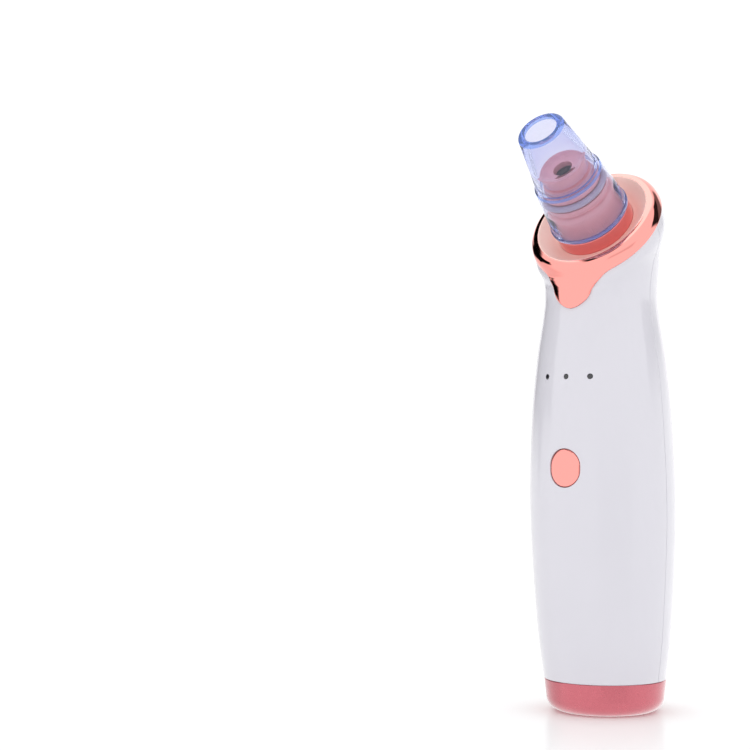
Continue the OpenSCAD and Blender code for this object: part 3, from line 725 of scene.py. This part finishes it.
def head_ring():
    """The ring: its dished face, its side with the tongue, and its back and spigot inside the handle."""
    angles, ends = ring_columns()
    dish = catmull_rom(DISH, np.linspace(0, FACE_END, 60))[:-1]
    face = on_nozzle(dish[:, 0][:, None], dish[:, 1][:, None], angles[None, :])
    side = np.stack([side_path(a, e) for a, e in zip(angles, ends)], 1)
    outline = side[-1]
    away = np.linalg.norm(side[:, :, None, :] - outline[None, None, :, :], axis=-1).min(-1)
    inward = -(np.sin(np.radians(angles))[:, None] * np.array([1.0, 0, 0])
               + np.cos(np.radians(angles))[:, None] * np.array([0, -1.0, 0]) * 0.9)
    inward /= np.linalg.norm(inward, axis=1)[:, None]
    proud = np.interp(ends, [LAST_SECTION - PROUD_OVER_U, LAST_SECTION], [TONGUE_ROLL, RING_PROUD - 0.05])
    side = side + inward[None] * roll(away, np.broadcast_to(proud, away.shape))[..., None]
    back = []
    for share in np.linspace(0, 1, 6)[1:]:
        u = ends + (LAST_SECTION - ends) * share
        back.append(skin(u, angles, -0.04))
    under = [
        (COLLAR_R - WALL - 0.2, RING_T), (17.3, 3.0), (17.3, 6.0), (15.6, 5.2), (14.2, 4.6),
        (BOSS_R + 0.05, 4.3),
    ]
    hidden = [on_nozzle(r, t, angles) for r, t in under]
    solid = Solid()
    grid = np.concatenate([face, side, np.stack(back), np.stack(hidden)])
    solid.quads(solid.add(grid), close_rows=True, close_columns=True)
    made = solid.object("plated_head_ring", sharp=50)
    return place(made, "handle", "rose_gold_plating", "head_ring")


head_ring()


# ---------------------------------------------------------------- bottom cap

def bottom_cap():
    """The cup under the handle, with the charge opening in its floor."""
    flat_r, corner_w, corner_h, cap_wall, lip_h = 13.0, 5.2, 5.0, 2.0, 3
    foot_r = SECTIONS[0][3]
    lip_r = foot_r - WALL - 0.2
    inner_r = lip_r - 1.4
    curve = [[flat_r + corner_w * math.cos(math.radians(a)), corner_h + corner_h * math.sin(math.radians(a))]
             for a in np.linspace(-90, 0, 28)]
    lip_z = CAP_SEAM_Z + lip_h
    top = soften([(flat_r + corner_w, corner_h, 0), (foot_r, CAP_SEAM_Z, 0.3), (lip_r, CAP_SEAM_Z, 0),
                  (lip_r, lip_z, 0.3), (inner_r, lip_z, 0.3), (inner_r, corner_h, 0)], 4)[1:]
    inside = [[flat_r - cap_wall + (inner_r - flat_r + cap_wall) * math.cos(math.radians(a)),
               corner_h + (corner_h - cap_wall) * math.sin(math.radians(a))]
              for a in np.linspace(0, -90, 16)[1:]]
    profile = np.vstack([curve, top, inside])
    columns = 144
    turn = np.radians(np.arange(columns) * 360 / columns)
    directions = np.stack([np.sin(turn), -np.cos(turn)], 1)
    grid = np.stack([np.column_stack([directions * r, np.full(columns, z)]) for r, z in profile])
    middle = np.array([0, SLOT_Y])
    ring = directions * flat_r - middle
    slot = stadium_ray(SLOT_D, SLOT_W, np.arctan2(-ring[:, 0], ring[:, 1]))
    slot = np.stack([-slot[:, 1], slot[:, 0]], 1)
    slot_grid = []
    for z, shares in ((cap_wall, (0.5, 0.15, 0.0)), (0.0, (0.0, 0.15, 0.5))):
        circle = grid[-1] if z else grid[0]
        for share in shares:
            flat = (middle + slot) * (1 - share) + circle[:, :2] * share
            slot_grid.append(np.column_stack([flat, np.full(columns, z)]))
    solid = Solid()
    solid.quads(solid.add(np.concatenate([grid, np.stack(slot_grid)])), close_rows=True, close_columns=True)
    return place(solid.object("rose_bottom_cap", sharp=45), "handle", "rose_red_cap", "bottom_cap")


bottom_cap()


# ---------------------------------------------------------------- button and light windows

def button():
    """The oval button: a face that follows the handle, a rounded edge, a wall, a flange and a stem."""
    count = 96
    turn = np.linspace(0, 2 * math.pi, count, endpoint=False)
    face_drop = 0.12
    edge_r = 0.55
    flange_out, flange_front_y, flange_back_y = 2, -20.4, -19.5
    stem_w = 3.2
    wall_depth = 1.2
    outline = stadium_ray(BUTTON_W, BUTTON_H, turn)
    length = np.linalg.norm(outline, axis=1)[:, None]
    stem_end_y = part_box("power_button")[1].y / MM
    rings = []
    for inwards in (4.6, 3.8, 3.0, 2.2, 1.5, 1.0, 0.8, 0.7, 0.6):
        ring = outline * (1 - inwards / length)
        rings.append(front_point(ring[:, 0], BUTTON_Z + ring[:, 1], face_drop + 0.02 * (1 - inwards / 5)))
    for a in np.linspace(0, 90, 8):
        inwards = edge_r * (1 - math.sin(math.radians(a)))
        drop = edge_r * (1 - math.cos(math.radians(a)))
        ring = outline * (1 - inwards / length)
        rings.append(front_point(ring[:, 0], BUTTON_Z + ring[:, 1], face_drop + 0.02 + drop))
    wall_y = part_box("power_button")[0].y / MM + wall_depth
    flange = stadium_ray(BUTTON_W + flange_out, BUTTON_H + flange_out, turn)
    stem = stadium_ray(stem_w, stem_w, turn)
    for ring, y in ((outline, wall_y), (flange, flange_front_y), (flange, flange_back_y),
                    (stem, flange_back_y), (stem, stem_end_y)):
        rings.append(np.column_stack([ring[:, 0], np.full(count, y), BUTTON_Z + ring[:, 1]]))
    solid = Solid()
    ids = solid.add(np.stack(rings))
    solid.quads(ids, close_columns=True)
    solid.cap(ids[0])
    solid.cap(ids[-1], turned=True)
    return place(solid.object("oval_power_button"), "button", "rose_gold_plating", "power_button")


button()


def light_window(x, name, node):
    """A dark light pipe that ends in a slightly domed window in the front shell."""
    count = 32
    turn = np.linspace(0, 2 * math.pi, count, endpoint=False)
    circle = np.stack([np.cos(turn), np.sin(turn)], 1)
    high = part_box(node)[1]
    rings = []
    for r in (0.15, 0.35, 0.5, 0.62, 0.72, 0.78, LED_R):
        ring = circle * r
        rings.append(front_point(x + ring[:, 0], LED_Z + ring[:, 1], 0.06 + 0.1 * (r / LED_R) ** 4))
    shoulder_r, shoulder_length = 1.5, 4.5
    back_y = high.y / MM
    shoulder_y = back_y - shoulder_length
    for r, y in ((LED_R, shoulder_y), (shoulder_r, shoulder_y), (shoulder_r, back_y)):
        rings.append(np.column_stack([x + circle[:, 0] * r, np.full(count, y), LED_Z + circle[:, 1] * r]))
    solid = Solid()
    ids = solid.add(np.stack(rings))
    solid.quads(ids, close_columns=True)
    solid.cap(ids[0])
    solid.cap(ids[-1], turned=True)
    return place(solid.object(name), "handle", "dark_lens", node)


for k, side in ((-1, "left"), (0, "middle"), (1, "right")):
    light_window(k * LED_PITCH, f"light_window_{side}", f"led_lens_{side}")


# ---------------------------------------------------------------- boss, collar, seal and tip

def suction_boss():
    """The ribbed boss that the tip pushes onto, with fine axial flutes near its foot."""
    flutes, flute_depth, flutes_low, flutes_high = 96, 0.2, 11.2, 14.9
    profile = soften([
        (3, 31.2, 0.2), (5, 31.3, 0.4), (6.2, 31.7, 0.4), (6.8, 32.1, 0.2), (7.25, 32.1, 0.15),
        (7.45, 31.8, 0.15), (7.45, 28.6, 0.2), (6.9, 28.4, 0.1), (6.9, 28.1, 0.1), (8, 27.9, 0.2),
        (8, 26.3, 0.2), (7.7, 26.1, 0.1), (7.7, 25.8, 0.1), (8.9, 25.6, 0.3), (8.9, 23.9, 0.1),
        (8.13, 23.9, 0), (8.13, 21.3, 0), (9.8, 21.3, 0.2), (9.8, 19.8, 0.2), (9.5, 19.6, 0.1),
        (9.5, 19.1, 0.1), (10.3, 18.8, 0.3), (BOSS_WAIST_R, 17.6, 0.4), (BOSS_WAIST_R, 15.4, 0),
        (BOSS_WAIST_R, flutes_high, 0), (BOSS_WAIST_R, flutes_low, 0), (BOSS_WAIST_R, 10.7, 0),
        (BOSS_WAIST_R, BOSS_FOOT_T, 0), (1.1, BOSS_FOOT_T, 0), (1.1, 22.9, 0), (3, 22.9, 0),
    ], 5)
    columns = 3 * flutes
    angles = np.arange(columns) * 360 / columns
    r, t = profile[:, 0][:, None], profile[:, 1][:, None]
    fluted = (np.abs(r - BOSS_WAIST_R) < 0.01) & (t > flutes_low - 0.1) & (t < flutes_high + 0.1)
    groove = flute_depth * (np.arange(columns) % 3 == 0)
    grid = on_nozzle(r - fluted * groove[None, :], t, angles[None, :])
    solid = Solid()
    solid.quads(solid.add(grid), close_rows=True, close_columns=True)
    made = solid.object("ribbed_boss", sharp=45)
    return place(made, "handle", "rose_boss", "suction_boss")


suction_boss()

COLLAR_BORE_R = 10.97
collar_outline = soften([
    (COLLAR_BORE_R, BOSS_FOOT_T, 0), (BOSS_R, BOSS_FOOT_T, 0), (BOSS_R, COLLAR_TOP_T, 0.45),
    (COLLAR_BORE_R, COLLAR_TOP_T, 0.1)], 6)
place(revolved("boss_foot_collar", collar_outline), "handle", "rose_boss", "boss_collar")

seal_outline = np.array([
    [SEAL_R + SEAL_WIRE_R * math.cos(a), SEAL_T + SEAL_WIRE_R * math.sin(a)]
    for a in np.linspace(0, 2 * math.pi, 28, endpoint=False)])
place(revolved("soft_seal_ring", seal_outline), "handle", "grey_silicone", "boss_seal")

tip_outline = soften([
    (MOUTH_BORE_R, 46.8, 0.35), (7, 46.8, 0.4), (7.5, 46.3, 0.4), (10.3, 27.9, 0.15), (10.9, 27.4, 0.35),
    (11, 26.7, 0.3), (11.1, 25.9, 0.3), (12.5, 12, 0.15), (12.85, 11.7, 0.25), (12.85, 10.9, 0.25),
    (12.55, 10.6, 0.15), (11.05, 10.6, 0.15), (11.05, 19, 0.5), (9.7, 26, 0.4), (8.9, 26.6, 0.4),
    (8.9, 28.5, 0.5), (8.2, 33.6, 0.2), (7.5, 34, 0.3), (MOUTH_BORE_R, 44.6, 0.4)], 5)
place(revolved("clear_suction_tip", tip_outline, 192), "tip", "clear_tip", "suction_tip")


# ---------------------------------------------------------------- studio

def floor(half):
    """A square floor that the object stands on and that its gloss doesn't reflect."""
    finish = Finish("pale_floor", (0.96, 0.96, 0.96), 0.25)
    finish.set("IOR", 1.12)
    mesh = bpy.data.meshes.new("floor")
    corners = [(-half, -half, 0), (half, -half, 0), (half, half, 0), (-half, half, 0)]
    mesh.from_pydata(corners, [], [(0, 1, 2, 3)])
    mesh.materials.append(finish.material)
    made = bpy.data.objects.new("floor", mesh)
    bpy.context.scene.collection.objects.link(made)
    made.visible_glossy = False


floor(3.0)

# WHITE is the brightness of the plain surroundings, and TENT of what the gloss reflects.
# Each area of the tent: azimuth from the front towards +X, elevation, half width, half height and
# turn in degrees, brightness, and softness of the edge in degrees. A later area covers an earlier one.
WHITE = 1.12
TENT = 1.3
AREAS = [
    (0, 90, 400, 24, 0, 2.0, 5),
    (-80, 64, 60, 12, 0, 2.0, 5),
    (50, -6, 27, 8, 0, 0.95, 5),
    (-108, -15, 42, 22, 0, 1.05, 9),
    (-84, 16, 24, 13, 0, 0.0, 2.5),
    (-88, 29.5, 18, 27, 28.7, 0.0, 2),
    (-101, 8, 20, 7, 0, 0.0, 3),
    (-108, 46.5, 24, 1.6, 34, 0.0, 1),
    (-27, 52.5, 36, 8, -19, 0.0, 1.5),
    (160, 33, 14, 25, 0, 0.2, 6),
    (135, 33, 15, 25, 0, 0.02, 3),
]


class Studio:
    """The world: plain white, and a light tent with darker and brighter areas for what gloss reflects."""

    def __init__(self):
        world = bpy.data.worlds.new("studio")
        bpy.context.scene.world = world
        world.use_nodes = True
        self.tree = world.node_tree
        direction = self.tree.nodes.new("ShaderNodeTexCoord").outputs["Generated"]
        apart = self.tree.nodes.new("ShaderNodeSeparateXYZ")
        self.tree.links.new(direction, apart.inputs[0])
        x, y, z = apart.outputs
        azimuth = self.math("DEGREES", self.math("ARCTAN2", x, self.math("MULTIPLY", y, -1.0)))
        elevation = self.math("DEGREES", self.math("ARCSINE", z))
        joined = self.tree.nodes.new("ShaderNodeCombineXYZ")
        self.tree.links.new(azimuth, joined.inputs[0])
        self.tree.links.new(elevation, joined.inputs[1])
        self.angles = joined.outputs[0]
        level = TENT
        for area in AREAS:
            level = self.area(level, *area)
        path = self.tree.nodes.new("ShaderNodeLightPath")
        opaque = self.math("SUBTRACT", 1.0, path.outputs["Is Transmission Ray"])
        reflected = self.math("MULTIPLY", path.outputs["Is Glossy Ray"], opaque)
        strength = self.mix(reflected, WHITE, level)
        self.tree.links.new(strength, self.tree.nodes["Background"].inputs["Strength"])
        self.tree.nodes["Background"].inputs["Color"].default_value = (1, 1, 1, 1)

    def fill(self, socket, value):
        """Links an output to an input or sets the input's number."""
        if isinstance(value, (int, float)):
            socket.default_value = value
        else:
            self.tree.links.new(value, socket)

    def math(self, operation, *values):
        """The result of one Math node."""
        made = self.tree.nodes.new("ShaderNodeMath")
        made.operation = operation
        for socket, value in zip(made.inputs, values):
            self.fill(socket, value)
        return made.outputs[0]

    def mix(self, factor, first, second):
        """One number blended towards another by a factor."""
        made = self.tree.nodes.new("ShaderNodeMix")
        self.fill(made.inputs[0], factor)
        self.fill(made.inputs[2], first)
        self.fill(made.inputs[3], second)
        return made.outputs[0]

    def area(self, level, azimuth, elevation, half_width, half_height, turn, brightness, softness):
        """The brightness so far with one area laid over it."""
        moved = self.tree.nodes.new("ShaderNodeMapping")
        moved.vector_type = "TEXTURE"
        moved.inputs["Location"].default_value = (azimuth, elevation, 0)
        moved.inputs["Rotation"].default_value = (0, 0, math.radians(turn))
        self.tree.links.new(self.angles, moved.inputs["Vector"])
        apart = self.tree.nodes.new("ShaderNodeSeparateXYZ")
        self.tree.links.new(moved.outputs[0], apart.inputs[0])
        inside = 1.0
        for along, half in zip(apart.outputs, (half_width, half_height)):
            edge = self.tree.nodes.new("ShaderNodeMapRange")
            edge.interpolation_type = "SMOOTHSTEP"
            self.fill(edge.inputs["Value"], self.math("ABSOLUTE", along))
            edge.inputs["From Min"].default_value = half + softness
            edge.inputs["From Max"].default_value = half - softness
            inside = self.math("MULTIPLY", inside, edge.outputs["Result"])
        return self.mix(inside, level, brightness)


Studio()

CAMERA_PLACE = Vector((321.19, -530.59, 92.41)) * MM
CAMERA_FORWARD = Vector((-0.61266, 0.79013, 0.018435))
camera_data = bpy.data.cameras.new("camera")
camera_data.lens = 95.19
camera_data.sensor_width = 36
camera = bpy.data.objects.new("camera", camera_data)
bpy.context.scene.collection.objects.link(camera)
camera.location = CAMERA_PLACE
camera.rotation_mode = "QUATERNION"
camera.rotation_quaternion = CAMERA_FORWARD.to_track_quat("-Z", "Y")
bpy.context.scene.camera = camera
bpy.context.scene.view_settings.view_transform = "Standard"
